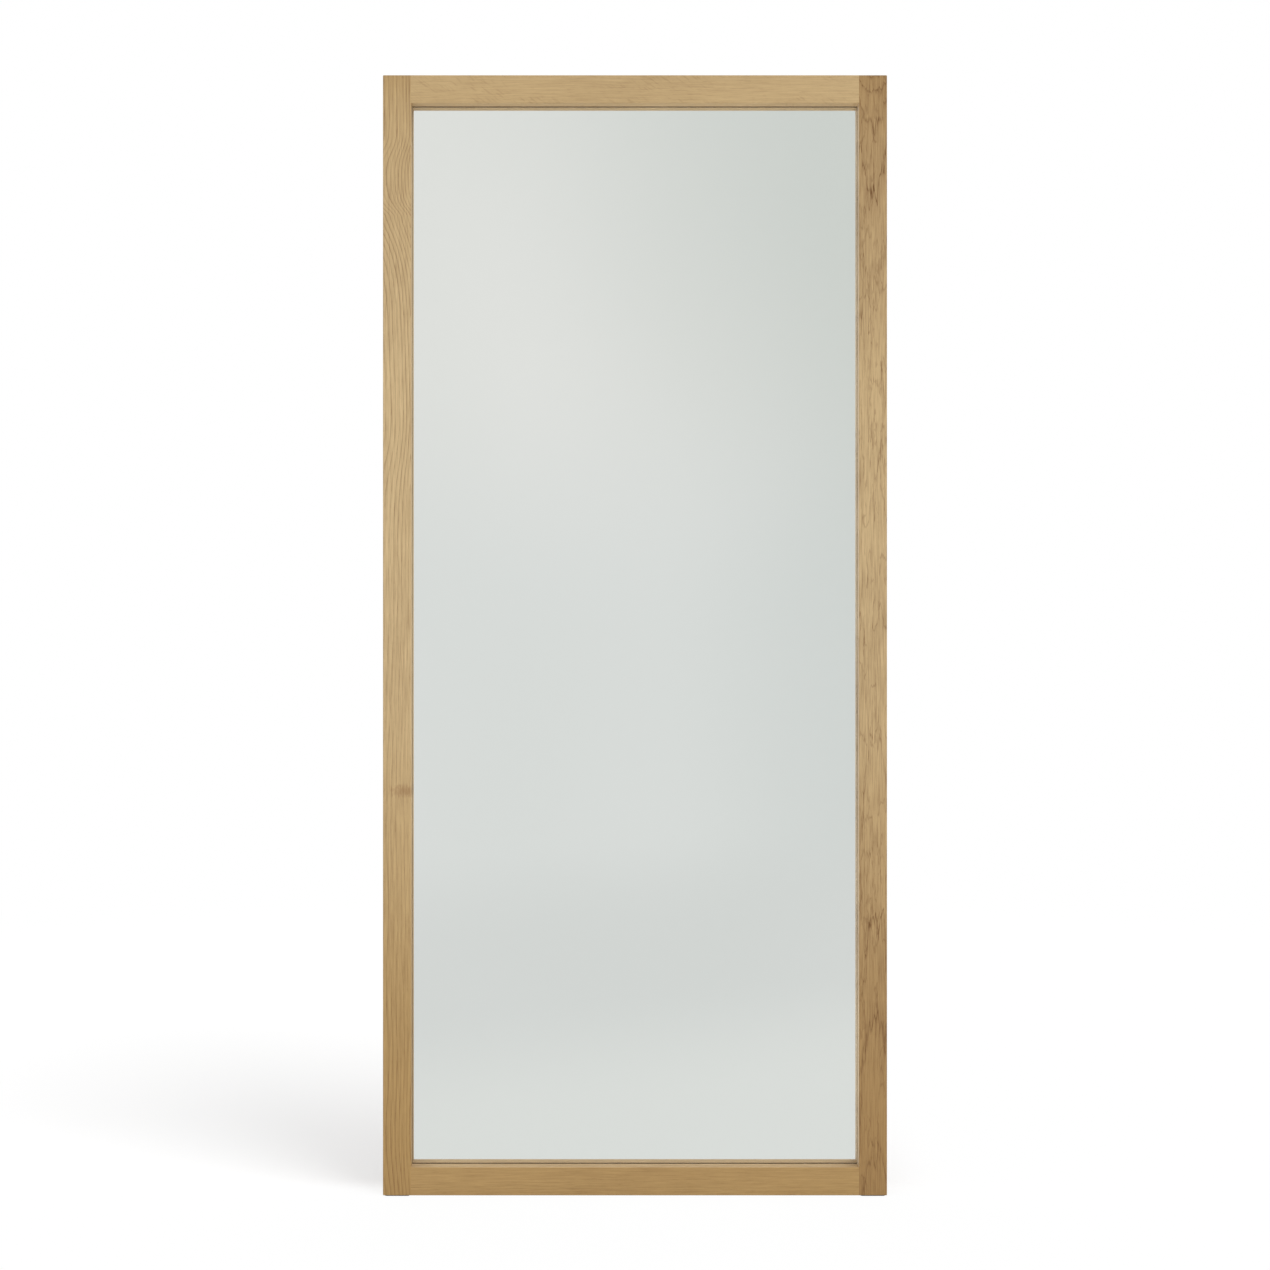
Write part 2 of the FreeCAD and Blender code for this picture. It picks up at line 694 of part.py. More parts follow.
def make_hangers():
    """On each stile a strap plate with its ring, held by two countersunk screws."""
    screw = make_screw(
        "hanger_screw", "hanger_screw_diameter", "hanger_screw_head", "hanger_screw_length"
    )
    y = "back_y + hanger_thickness"
    for side, x in (("left", "-back_strip_middle"), ("right", "back_strip_middle")):
        make_hanger_plate(f"{side}_hanger_plate", x)
        make_hanger_ring(f"{side}_hanger_ring", x)
        places = [(x, y, "eye_z - upper_hole_drop"), (x, y, "eye_z - lower_hole_drop")]
        group_of(f"{side}_hanger_screws", screw, places, TO_THE_BACK)


def make_wall_bumpers():
    """Four round bumpers on the frame's back, near its corners."""
    body = new_body("wall_bumper", keep=False)
    sketch = new_sketch(body, "XY_Plane")
    draw_circles(sketch, [(0, 0)], "bumper_diameter / 2")
    add_pad(body, sketch, "bumper_thickness")
    rim = next(
        f"Edge{index}"
        for index, edge in enumerate(body.Shape.Edges, 1)
        if edge.Closed and edge.CenterOfMass.z > TOUCH
    )
    rounding = body.newObject("PartDesign::Fillet", "Rounding")
    rounding.Base = (rounding.BaseFeature, [rim])
    bind(rounding, "Radius", "bumper_rounding")
    doc.recompute()
    heights = ["frame_bottom + bumper_end", "frame_top - bumper_end"]
    sides = ["-back_strip_middle", "back_strip_middle"]
    places = [(x, "back_y", z) for x in sides for z in heights]
    group_of("wall_bumpers", body, places, TO_THE_BACK)


def make_foot_pad(label, x):
    """A thin rubber pad under a stile, set in from its edges."""
    body = new_body(label)
    sketch = new_sketch(body, "XY_Plane")
    right, back = "member_width - 2 * pad_inset", "frame_depth - 2 * pad_inset"
    draw_box(sketch, 0, 0, right, back)
    add_pad(body, sketch, "pad_thickness")
    corners = [(side, end, None) for side in (0, right) for end in (0, back)]
    dress_edges(body, "PartDesign::Fillet", corners, "pad_corner_radius")
    place(body, x, "front_y + pad_inset", 0)


# ---------------------------------------------------------------- the whole mirror


def check_and_write():
    """Stop on a failed object or a bad shape, then write each node to its own file."""
    doc.recompute()
    for item in doc.Objects:
        if {"Invalid", "Error"} & set(item.State):
            raise RuntimeError(f"{item.Name} failed: {item.State}")
    for node in nodes:
        if node.Shape.isNull() or not node.Shape.isValid():
            raise RuntimeError(f"{node.Label} has no valid shape")
    os.makedirs(OUT_FOLDER, exist_ok=True)
    for node in nodes:
        node.Shape.exportStep(f"{OUT_FOLDER}/{node.Label}.step")
        box = node.Shape.optimalBoundingBox()
        low = ", ".join(f"{value:.2f}" for value in (box.XMin, box.YMin, box.ZMin))
        high = ", ".join(f"{value:.2f}" for value in (box.XMax, box.YMax, box.ZMax))
        print(f"{node.Label}: {len(node.Shape.Solids)} solids, from {low} to {high}")
    print(f"{len(nodes)} nodes")


sizes = fill_sheet()
make_frame()
make_dowels()
make_glazing_tape()
make_pane()
make_sheet("safety_film", "film_thickness", "film_depth", "film_margin")
make_sheet("backing_foam", "foam_thickness", "foam_depth", "foam_margin")
make_blocks()
make_back_panel()
make_panel_screws()
make_hangers()
make_wall_bumpers()
make_foot_pad("left_foot_pad", "-frame_width / 2 + pad_inset")
make_foot_pad("right_foot_pad", "frame_width / 2 - member_width + pad_inset")
check_and_write()
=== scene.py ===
"""The looks of a full-length floor mirror in a solid oak frame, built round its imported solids.

Lengths are in metres, in the solids' own frame: X to the right as seen from the front, Y from the
glass to the back, Z up from the floor.
"""

import logging
import math
from dataclasses import dataclass, field
from enum import Enum

import bmesh
import bpy
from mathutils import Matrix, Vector


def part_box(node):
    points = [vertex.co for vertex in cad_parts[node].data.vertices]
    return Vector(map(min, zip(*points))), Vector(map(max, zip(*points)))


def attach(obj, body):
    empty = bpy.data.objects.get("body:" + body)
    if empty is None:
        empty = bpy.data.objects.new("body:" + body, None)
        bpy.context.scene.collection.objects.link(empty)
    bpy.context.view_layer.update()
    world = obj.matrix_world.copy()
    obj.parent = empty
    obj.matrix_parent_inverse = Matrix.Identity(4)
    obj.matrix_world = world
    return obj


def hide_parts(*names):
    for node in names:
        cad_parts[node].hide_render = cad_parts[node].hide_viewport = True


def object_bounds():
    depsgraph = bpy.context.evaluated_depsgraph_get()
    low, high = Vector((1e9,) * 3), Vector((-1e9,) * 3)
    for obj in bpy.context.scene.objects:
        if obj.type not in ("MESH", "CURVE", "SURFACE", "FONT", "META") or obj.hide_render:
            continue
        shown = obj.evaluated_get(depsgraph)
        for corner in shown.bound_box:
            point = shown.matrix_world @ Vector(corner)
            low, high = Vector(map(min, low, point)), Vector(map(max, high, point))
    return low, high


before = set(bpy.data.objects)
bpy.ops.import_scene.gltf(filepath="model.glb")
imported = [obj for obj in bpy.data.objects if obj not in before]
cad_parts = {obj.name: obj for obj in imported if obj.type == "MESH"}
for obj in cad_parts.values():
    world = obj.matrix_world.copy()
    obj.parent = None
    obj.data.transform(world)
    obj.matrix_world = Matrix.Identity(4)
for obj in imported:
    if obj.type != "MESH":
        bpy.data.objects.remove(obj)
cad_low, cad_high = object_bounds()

LOG = logging.getLogger("floor_mirror")

Socket = bpy.types.NodeSocket
Sockets = bpy.types.bpy_prop_collection
Colour = tuple[float, float, float, float]
Triple = tuple[float, float, float]
Span = tuple[float, float]  # where something starts, and where it is full
Run = tuple[tuple[float, float], ...]  # pairs of a place along a length and the value there

BODY = "frame"  # the body that everything but the two hanging rings rides on
HAIR = 0.0002  # keeps a mask's border clear of the surface beside it

opening_low = Vector((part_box("bottom_rail")[0].x, 0.0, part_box("bottom_rail")[1].z))
opening_high = Vector((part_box("top_rail")[1].x, 0.0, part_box("top_rail")[0].z))
LIP_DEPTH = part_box("left_glazing_tape")[0].y - cad_low.y - HAIR  # from the face to the lip's rear
GLASS_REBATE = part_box("side_spacers")[1].x - opening_high.x + HAIR  # beyond the opening


def paint(red: int, green: int, blue: int) -> Colour:
    """Turn a colour as a screen shows it, 0 to 255, into the linear colour that a shader takes.

    Args:
        red, green, blue: the colour's channels, from 0 to 255.

    Returns:
        The linear colour, opaque, by the sRGB standard's own formula.
    """
    linear = [
        share / 12.92 if share <= 0.04045 else ((share + 0.055) / 1.055) ** 2.4
        for share in (red / 255, green / 255, blue / 255)
    ]
    return (*linear, 1.0)


# ------------------------------------------------------------------------------ shader nodes


class Graph:
    """Adds and joins the nodes of one material, world or node group."""

    def __init__(self, tree: bpy.types.NodeTree) -> None:
        """Work on an empty or half-built node tree."""
        self.tree = tree

    def feed(self, socket: Socket, value: object) -> None:
        """Link a socket to another socket, or set its own value."""
        if isinstance(value, Socket):
            self.tree.links.new(value, socket)
        else:
            socket.default_value = value

    def node(self, kind: str, inputs: dict | None = None, **settings: object) -> bpy.types.Node:
        """Add a node.

        Args:
            kind: the node's type, without the leading ShaderNode.
            inputs: values or sockets for its inputs, by name or number.
            settings: the node's own properties.

        Returns:
            The new node.
        """
        made = self.tree.nodes.new("ShaderNode" + kind)
        for name, value in settings.items():
            setattr(made, name, value)
        for key, value in (inputs or {}).items():
            self.feed(made.inputs[key], value)
        return made

    def math(self, operation: str, *values: object, clamp: bool = False) -> Socket:
        """Work out a number from one to three others."""
        made = self.node("Math", dict(enumerate(values)), operation=operation, use_clamp=clamp)
        return made.outputs[0]

    def vector(self, operation: str, *values: object) -> Socket:
        """Work out a vector, or for LENGTH a number, from one or two vectors."""
        made = self.node("VectorMath", dict(enumerate(values)), operation=operation)
        return made.outputs["Value" if operation == "LENGTH" else "Vector"]

    def scaled(self, vector: Socket, factor: object) -> Socket:
        """Multiply a vector by a number."""
        made = self.node("VectorMath", {0: vector, "Scale": factor}, operation="SCALE")
        return made.outputs["Vector"]

    def parts(self, vector: Socket) -> Sockets:
        """A vector's X, Y and Z."""
        return self.node("SeparateXYZ", {0: vector}).outputs

    def noise(
        self, position: object, cells: object, detail: float = 2.0, output: str = "Fac"
    ) -> Socket:
        """Smooth noise, with its own number of cells per metre along each axis.

        Args:
            position: the place to read it at.
            cells: cells per metre along X, Y and Z.
            detail: how many finer layers are added.
            output: Fac for one number, Color for three.

        Returns:
            The noise, about 0.5 on average.
        """
        place = self.vector("MULTIPLY", position, cells)
        made = self.node("TexNoise", {"Vector": place, "Scale": 1.0, "Detail": detail})
        return made.outputs[output]

    def remap(
        self, value: object, low: float, high: float, to_low: float = 0.0, to_high: float = 1.0
    ) -> Socket:
        """Stretch a number smoothly from one range to another, and hold it there."""
        numbers = {"Value": value, 1: low, 2: high, 3: to_low, 4: to_high}
        return self.node("MapRange", numbers, interpolation_type="SMOOTHSTEP").outputs[0]

    def centred(self, value: Socket, reach: object) -> Socket:
        """Turn noise about 0.5 into a number about 0, up to half the reach either way."""
        return self.math("MULTIPLY", self.math("SUBTRACT", value, 0.5), reach)

    def blend(self, share: object, first: object, second: object) -> Socket:
        """Mix two colours."""
        inputs = {0: share, 6: first, 7: second}
        return self.node("Mix", inputs, data_type="RGBA").outputs[2]

    def ramp(self, value: object, stops: Run) -> Socket:
        """A number that follows straight lines between stops of (place, height), each 0 to 1."""
        made = self.node("ValToRGB", {0: value})
        points = made.color_ramp.elements
        for index, (place, height) in enumerate(stops):
            point = points[index] if index < 2 else points.new(place)
            point.position = place
            point.color = (height, height, height, 1.0)
        return made.outputs[0]

    def curve(self, value: object, length: float, points: Run, reach: float = 1.0) -> Socket:
        """A smooth curve along a length.

        Args:
            value: the place along the length, in metres.
            length: the whole length, in metres.
            points: pairs of place, in metres, and height, from 0 to the reach.
            reach: the tallest height that the curve has room for.

        Returns:
            The curve's height at the place.
        """
        share = self.math("DIVIDE", value, length, clamp=True)
        made = self.node("FloatCurve", {"Value": share})
        line = made.mapping.curves[0]
        for index, (place, height) in enumerate(points):
            spot = (place / length, height / reach)
            if index < 2:
                line.points[index].location = spot
            else:
                line.points.new(*spot)
        made.mapping.update()
        return self.math("MULTIPLY", made.outputs[0], reach)

    def bump(self, height: Socket, relief: float, strength: float) -> Socket:
        """The normal of a surface with this height on it, in reliefs."""
        inputs = {"Height": height, "Distance": relief, "Strength": strength}
        return self.node("Bump", inputs).outputs[0]

    def mixed(self, share: object, first: Socket, second: Socket) -> Socket:
        """Mix two shaders."""
        return self.node("MixShader", {0: share, 1: first, 2: second}).outputs[0]

    def path(self, question: str) -> Socket:
        """What is known of the way that this light has come."""
        return self.node("LightPath").outputs[question]

    def scattered(self) -> Socket:
        """Whether this light has scattered off a dull surface once or more."""
        return self.math("GREATER_THAN", self.path("Diffuse Depth"), 0.5)

    def group(self, tree: bpy.types.NodeTree, inputs: dict) -> bpy.types.Node:
        """Place a node group with its own values."""
        return self.node("Group", inputs, node_tree=tree)


NUMBER = "NodeSocketFloat"
VECTOR = "NodeSocketVector"
COLOUR = "NodeSocketColor"


class SharedGroup:
    """A shader node group that several materials use, built the first time it is asked for."""

    name = ""
    inlets: dict[str, str] = {}
    outlets: dict[str, str] = {}

    @classmethod
    def tree(cls) -> bpy.types.NodeTree:
        """The group's node tree."""
        made = bpy.data.node_groups.get(cls.name)
        if made is None:
            made = bpy.data.node_groups.new(cls.name, "ShaderNodeTree")
            for name, kind in cls.inlets.items():
                made.interface.new_socket(name, in_out="INPUT", socket_type=kind)
            for name, kind in cls.outlets.items():
                made.interface.new_socket(name, in_out="OUTPUT", socket_type=kind)
            graph = Graph(made)
            given = made.nodes.new("NodeGroupInput").outputs
            wanted = made.nodes.new("NodeGroupOutput").inputs
            cls.build(graph, given, wanted)
        return made

    @classmethod
    def build(cls, graph: Graph, given: Sockets, wanted: Sockets) -> None:
        """Add the nodes between the group's inputs and its outputs."""
        raise NotImplementedError


class GrowthRings(SharedGroup):
    """How many rings a point in a board lies from the tree's centre."""

    name = "growth_rings"
    inlets = {
        "Position": VECTOR,
        "Pith": VECTOR,
        "Drift": NUMBER,
        "Ring Width": NUMBER,
        "Waver": NUMBER,
        "Jag": NUMBER,
    }
    outlets = {"Age": NUMBER}

    waver_cells: Triple = (5.0, 5.0, 2.4)
    ripple_cells: Triple = (60.0, 60.0, 9.0)
    jag_cells: Triple = (150.0, 150.0, 7.0)
    ripple_share = 0.09  # of the waver

    @classmethod
    def build(cls, graph: Graph, given: Sockets, wanted: Sockets) -> None:
        """Measure from a wavering centre line, and roughen the rings a little."""
        place = given["Position"]
        flat = graph.vector("MULTIPLY", place, (1.0, 1.0, 0.0))
        slow = graph.noise(place, cls.waver_cells, detail=1.0, output="Color")
        slow = graph.vector("SUBTRACT", slow, (0.5, 0.5, 0.5))
        bent = graph.vector("ADD", flat, graph.scaled(slow, given["Waver"]))
        radius = graph.vector("LENGTH", graph.vector("SUBTRACT", bent, given["Pith"]))
        ripple_reach = graph.math("MULTIPLY", given["Waver"], cls.ripple_share)
        ripple = graph.centred(graph.noise(place, cls.ripple_cells), ripple_reach)
        jag = graph.centred(graph.noise(place, cls.jag_cells, detail=3.0), given["Jag"])
        radius = graph.math("ADD", radius, given["Drift"])
        radius = graph.math("ADD", radius, ripple)
        radius = graph.math("ADD", radius, jag)
        graph.feed(wanted["Age"], graph.math("DIVIDE", radius, given["Ring Width"]))


class TimberSurface(SharedGroup):
    """Colour, roughness and height of planed timber, from its growth rings."""

    name = "timber_surface"
    inlets = {
        "Position": VECTOR,
        "Age": NUMBER,
        "Ground": COLOUR,
        "Dark": COLOUR,
        "Ring Depth": NUMBER,
        "Ring Edge": NUMBER,
        "Clouds": NUMBER,
        "Streaks": NUMBER,
        "Veins": NUMBER,
        "Pores": NUMBER,
        "Flecks": NUMBER,
    }
    outlets = {"Colour": COLOUR, "Roughness": NUMBER, "Height": NUMBER}

    # one year's growth: the open pores of spring, then ever denser wood until it stops
    ring_profile: Run = (
        (0.0, 1.0),
        (0.08, 0.85),
        (0.3, 0.3),
        (0.6, 0.05),
        (0.96, 0.1),
        (1.0, 0.9),
    )
    faintest_year = 0.25  # the palest year's ring, as a share of the darkest one's
    ground_darkness = 0.14
    cloud_cells: Triple = (14.0, 14.0, 3.0)
    streak_cells: Triple = (420.0, 420.0, 16.0)
    vein_cells: Triple = (60.0, 60.0, 9.0)
    vein_width = 0.026  # either side of the middle of the noise that it follows
    pore_cells: Triple = (2300.0, 2300.0, 70.0)
    pore_border: Span = (0.57, 0.70)
    late_pores = 0.3  # the share of its pores that the densest wood shows
    fleck_turn = math.radians(36)
    fleck_cells: Triple = (420.0, 60.0, 52.0)
    fleck_border: Span = (0.56, 0.68)
    patch_cells: Triple = (30.0, 30.0, 6.0)
    patch_border: Span = (0.42, 0.6)
    fibre_cells: Triple = (1500.0, 1500.0, 24.0)
    fibre_darkness = 0.25
    fibre_relief = 0.3  # as a share of a pore's depth
    ring_relief = -0.25  # the same
    smoothest = 0.5  # the roughness between pores and fibres
    pore_roughness = 0.35
    fibre_roughness = 0.12

    @classmethod
    def build(cls, graph: Graph, given: Sockets, wanted: Sockets) -> None:
        """Lay rings, clouds, streaks, veins, pores, ray flecks and fibres over each other."""
        place = given["Position"]
        growth = cls.growth(graph, given)
        rings = cls.rings(graph, given, growth)
        clouds = graph.centred(graph.noise(place, cls.cloud_cells), given["Clouds"])
        streaks = graph.noise(place, cls.streak_cells, detail=3.0)
        streaks = graph.centred(streaks, given["Streaks"])
        veins = cls.veins(graph, given)
        pores = cls.pores(graph, given, growth)
        flecks = cls.flecks(graph, given)
        fibre = graph.noise(place, cls.fibre_cells)

        darkness = rings
        for layer in (clouds, streaks, veins, pores, flecks, graph.centred(fibre, cls.fibre_darkness)):
            darkness = graph.math("ADD", darkness, layer)
        darkness = graph.math("ADD", darkness, cls.ground_darkness, clamp=True)
        graph.feed(wanted["Colour"], graph.blend(darkness, given["Ground"], given["Dark"]))
        dull = graph.math("MULTIPLY_ADD", pores, cls.pore_roughness, cls.smoothest)
        roughness = graph.math("MULTIPLY_ADD", fibre, cls.fibre_roughness, dull)
        graph.feed(wanted["Roughness"], roughness)
        relief = graph.math("MULTIPLY", fibre, cls.fibre_relief)
        relief = graph.math("MULTIPLY_ADD", growth, cls.ring_relief, relief)
        graph.feed(wanted["Height"], graph.math("SUBTRACT", relief, pores))

    @classmethod
    def growth(cls, graph: Graph, given: Sockets) -> Socket:
        """How open the wood is in its year's growth, from 0 to 1."""
        season = graph.math("POWER", graph.math("FRACT", given["Age"]), given["Ring Edge"])
        return graph.ramp(season, cls.ring_profile)

    @classmethod
    def rings(cls, graph: Graph, given: Sockets, growth: Socket) -> Socket:
        """The rings' darkness, with good years and bad ones."""
        year = graph.math("FLOOR", given["Age"])
        luck = graph.node("TexWhiteNoise", {"W": year}, noise_dimensions="1D").outputs["Value"]
        luck = graph.math("MULTIPLY_ADD", luck, 1 - cls.faintest_year, cls.faintest_year)
        return graph.math("MULTIPLY", graph.math("MULTIPLY", growth, luck), given["Ring Depth"])

    @classmethod
    def veins(cls, graph: Graph, given: Sockets) -> Socket:
        """Thin ragged dark lines, where a noise stretched along the grain crosses its middle."""
        off_middle = graph.centred(graph.noise(given["Position"], cls.vein_cells, detail=4.0), 1.0)
        veins = graph.remap(graph.math("ABSOLUTE", off_middle), cls.vein_width, 0.0)
        return graph.math("MULTIPLY", veins, given["Veins"])

    @classmethod
    def pores(cls, graph: Graph, given: Sockets, growth: Socket) -> Socket:
        """Short dark dashes along the grain, most of them in the open wood."""
        pores = graph.noise(given["Position"], cls.pore_cells, detail=1.0)
        pores = graph.remap(pores, *cls.pore_border)
        openness = graph.math("MULTIPLY_ADD", growth, 1 - cls.late_pores, cls.late_pores)
        return graph.math("MULTIPLY", graph.math("MULTIPLY", pores, openness), given["Pores"])

    @classmethod
    def flecks(cls, graph: Graph, given: Sockets) -> Socket:
        """Slanting ray flecks, in patches."""
        place = given["Position"]
        turn = {"Vector": place, "Angle": cls.fleck_turn}
        turned = graph.node("VectorRotate", turn, rotation_type="Y_AXIS").outputs[0]
        flecks = graph.remap(graph.noise(turned, cls.fleck_cells, detail=1.0), *cls.fleck_border)
        patches = graph.remap(graph.noise(place, cls.patch_cells, detail=1.0), *cls.patch_border)
        return graph.math("MULTIPLY", flecks, graph.math("MULTIPLY", patches, given["Flecks"]))


class Speckle(SharedGroup):
    """Fine, even mottling, for what is moulded, pressed, plated or foamed."""

    name = "speckle"
    inlets = {
        "Position": VECTOR,
        "Grain": VECTOR,
        "Cloud": VECTOR,
        "Base": COLOUR,
        "Accent": COLOUR,
        "Amount": NUMBER,
    }
    outlets = {"Colour": COLOUR, "Roughness": NUMBER, "Height": NUMBER}

    accent_border: Span = (0.36, 0.64)
    roughness_reach = 0.25

    @classmethod
    def build(cls, graph: Graph, given: Sockets, wanted: Sockets) -> None:
        """Mix a fine noise and a broad one."""
        fine = graph.noise(given["Position"], given["Grain"], detail=3.0)
        broad = graph.noise(given["Position"], given["Cloud"])
        mean = graph.math("MULTIPLY", graph.math("ADD", fine, broad), 0.5)
        share = graph.math("MULTIPLY", graph.remap(mean, *cls.accent_border), given["Amount"])
        graph.feed(wanted["Colour"], graph.blend(share, given["Base"], given["Accent"]))
        graph.feed(wanted["Roughness"], graph.centred(broad, cls.roughness_reach))
        graph.feed(wanted["Height"], fine)


# ------------------------------------------------------------------------------ finishes


class Lie(Enum):
    """Which way a board's length runs."""

    UPRIGHT = "along Z"
    LEVEL = "along X"


def bare_material(name: str) -> tuple[bpy.types.Material, Graph, Socket]:
    """A material without a shader.

    Args:
        name: the material's name.

    Returns:
        The material, its graph and its Object coordinates.
    """
    material = bpy.data.materials.new(name)
    material.use_nodes = True
    material.node_tree.nodes.clear()
    graph = Graph(material.node_tree)
    return material, graph, graph.node("TexCoord").outputs["Object"]


@dataclass(frozen=True)
class KnotMark:
    """The soft mark that a small knot leaves on a board's face."""

    place: Triple
    reach: Triple  # half its size along X, Y and Z
    colour: Colour = paint(128, 82, 38)
    strength: float = 0.46
    cells: Triple = (700.0, 700.0, 160.0)
    raggedness: float = 2.4
    fade: Span = (1.4, 0.0)  # in reaches from its middle

    def laid_on(self, graph: Graph, place: Socket, colour: Socket) -> Socket:
        """Mark a board.

        Args:
            graph: the board material's graph.
            place: its Object coordinates.
            colour: the board's colour.

        Returns:
            The colour with the mark on it.
        """
        away = graph.vector("SUBTRACT", place, self.place)
        away = graph.vector("LENGTH", graph.vector("DIVIDE", away, self.reach))
        ragged = graph.centred(graph.noise(place, self.cells), self.raggedness)
        share = graph.remap(graph.math("ADD", away, ragged), *self.fade, 0.0, self.strength)
        return graph.blend(share, colour, self.colour)


@dataclass(frozen=True)
class Timber:
    """Oiled or bare timber, cut from its own place in the tree."""

    name: str
    lie: Lie
    middle: Triple  # the board's middle, which its tree's centre is placed from
    pith: tuple[float, float]  # from the middle: across the face, and behind it
    pale: Colour
    # the darker colour holds painted shade as well as the timber's own tone
    ripe_and_shaded: Colour
    dark: Colour
    ring_width: float = 0.003
    drift: Run = ((0.0, 0.0), (2.0, 0.0))  # how far the rings wander, in metres
    tone_and_shade: Run = ((0.0, 0.0), (2.0, 0.0))  # from the pale colour, 0, to the darker one, 1: the timber's own tone and painted shade
    figure: Run = ((0.0, 1.0), (2.0, 1.0))  # how much of the rings' depth shows
    run_length: float = 2.0  # what these three cover, half of it either side of the middle
    waver: float = 0.012
    jag: float = 0.0006
    ring_depth: float = 0.5
    ring_edge: float = 0.8  # below 1, each year's dark line is thinner
    clouds: float = 0.3
    streaks: float = 0.5
    veins: float = 0.0
    pores: float = 0.35
    flecks: float = 0.0
    knot: KnotMark | None = None
    inner_edge: float | None = None  # X or Z of the edge beside the glass
    # painted highlight: the edge beside the glass is lightened as if lit, just behind the face
    edge_light_share: float = 0.0  # how strongly the painted highlight lightens that edge
    edge_light_colour: Colour = paint(226, 203, 166)
    edge_light_fade: Span = (0.0016, HAIR)  # from that edge into the timber
    edge_light_depth_fade: Span = (0.0004, 0.0016)  # from the face toward the glass
    # painted shade: the rebate behind the lip is darkened, standing for the shadow in the gap between
    # lip and glass
    rebate_shade: Colour = paint(104, 84, 60)
    relief: float = 0.0001
    bump: float = 0.6

    def material(self) -> bpy.types.Material:
        """Build the timber's material."""
        material, graph, place = bare_material(self.name)
        in_board = self.from_middle(graph, place)
        along = graph.math("ADD", graph.parts(in_board)["Z"], self.run_length / 2)
        figure = graph.curve(along, self.run_length, self.figure)
        surface = graph.group(
            TimberSurface.tree(),
            {
                "Position": in_board,
                "Age": self.age(graph, in_board, along),
                "Ground": self.ground(graph, place, along),
                "Dark": self.dark,
                "Ring Depth": graph.math("MULTIPLY", figure, self.ring_depth),
                "Ring Edge": self.ring_edge,
                "Clouds": self.clouds,
                "Streaks": self.streaks,
                "Veins": self.veins,
                "Pores": self.pores,
                "Flecks": self.flecks,
            },
        ).outputs
        colour = surface["Colour"]
        if self.knot:
            colour = self.knot.laid_on(graph, place, colour)
        # painted shade in the rebate behind the lip
        if self.inner_edge is not None:
            colour = self.with_rebate_shade(graph, place, colour)
        shader = graph.node(
            "BsdfPrincipled",
            {
                "Base Color": colour,
                "Roughness": surface["Roughness"],
                "Normal": graph.bump(surface["Height"], self.relief, self.bump),
            },
        )
        graph.node("OutputMaterial", {"Surface": shader.outputs[0]})
        return material

    def from_middle(self, graph: Graph, place: Socket) -> Socket:
        """A place as seen from the board's middle, with the board's length along Z."""
        from_middle = graph.vector("SUBTRACT", place, self.middle)
        if self.lie is Lie.UPRIGHT:
            return from_middle
        parts = graph.parts(from_middle)
        return graph.node("CombineXYZ", {0: parts[2], 1: parts[1], 2: parts[0]}).outputs[0]

    def age(self, graph: Graph, in_board: Socket, along: Socket) -> Socket:
        """How many rings a place lies from the tree's centre."""
        reach = max(height for _, height in self.drift) or 1.0
        inputs = {
            "Position": in_board,
            "Pith": (*self.pith, 0.0),
            "Drift": graph.curve(along, self.run_length, self.drift, reach),
            "Ring Width": self.ring_width,
            "Waver": self.waver,
            "Jag": self.jag,
        }
        return graph.group(GrowthRings.tree(), inputs).outputs["Age"]

    def ground(self, graph: Graph, place: Socket, along: Socket) -> Socket:
        """The colour between the rings: the timber's tone with painted shade along its length, and a
        painted highlight just behind the face on the edge beside the glass.
        """
        tone = graph.curve(along, self.run_length, self.tone_and_shade)
        ground = graph.blend(tone, self.pale, self.ripe_and_shaded)
        if not self.edge_light_share:
            return ground
        # painted highlight on the edge beside the glass
        away, depth = self.from_inner_edge(graph, place)
        share = graph.remap(away, *self.edge_light_fade, 0.0, self.edge_light_share)
        share = graph.math("MULTIPLY", share, graph.remap(depth, *self.edge_light_depth_fade))
        return graph.blend(share, ground, self.edge_light_colour)

    def with_rebate_shade(self, graph: Graph, place: Socket, colour: Socket) -> Socket:
        """Darken the rebate behind the lip with painted shade, for the dark line where the lip meets the
        glass.

        Args:
            graph: the material's graph.
            place: its Object coordinates.
            colour: the colour so far.

        Returns:
            The colour with the painted shade on it.
        """
        away, depth = self.from_inner_edge(graph, place)
        beside_glass = graph.math("LESS_THAN", away, GLASS_REBATE)
        behind_lip = graph.math("GREATER_THAN", depth, LIP_DEPTH)
        return graph.blend(graph.math("MULTIPLY", beside_glass, behind_lip), colour, self.rebate_shade)

    def from_inner_edge(self, graph: Graph, place: Socket) -> tuple[Socket, Socket]:
        """How far a place lies from the edge beside the glass, and how far behind the face."""
        parts = graph.parts(place)
        across = parts["X"] if self.lie is Lie.UPRIGHT else parts["Z"]
        away = graph.math("ABSOLUTE", graph.math("SUBTRACT", across, self.inner_edge))
        return away, graph.math("SUBTRACT", parts["Y"], cad_low.y)


@dataclass(frozen=True)
class Mottled:
    """A finish of one colour with fine mottling over it."""

    name: str
    base: Colour
    accent: Colour
    roughness: float
    metallic: float = 0.0
    grain: Triple = (900.0, 900.0, 900.0)
    cloud: Triple = (30.0, 30.0, 30.0)
    amount: float = 0.5
    relief: float = 0.00004
    bump: float = 0.5

    def material(self) -> bpy.types.Material:
        """Build the finish's material."""
        material, graph, place = bare_material(self.name)
        inputs = {
            "Position": place,
            "Grain": self.grain,
            "Cloud": self.cloud,
            "Base": self.base,
            "Accent": self.accent,
            "Amount": self.amount,
        }
        speckle = graph.group(Speckle.tree(), inputs).outputs
        shader = graph.node(
            "BsdfPrincipled",
            {
                "Base Color": speckle["Colour"],
                "Roughness": graph.math("ADD", speckle["Roughness"], self.roughness, clamp=True),
                "Metallic": self.metallic,
                "Normal": graph.bump(speckle["Height"], self.relief, self.bump),
            },
        )
        graph.node("OutputMaterial", {"Surface": shader.outputs[0]})
        return material


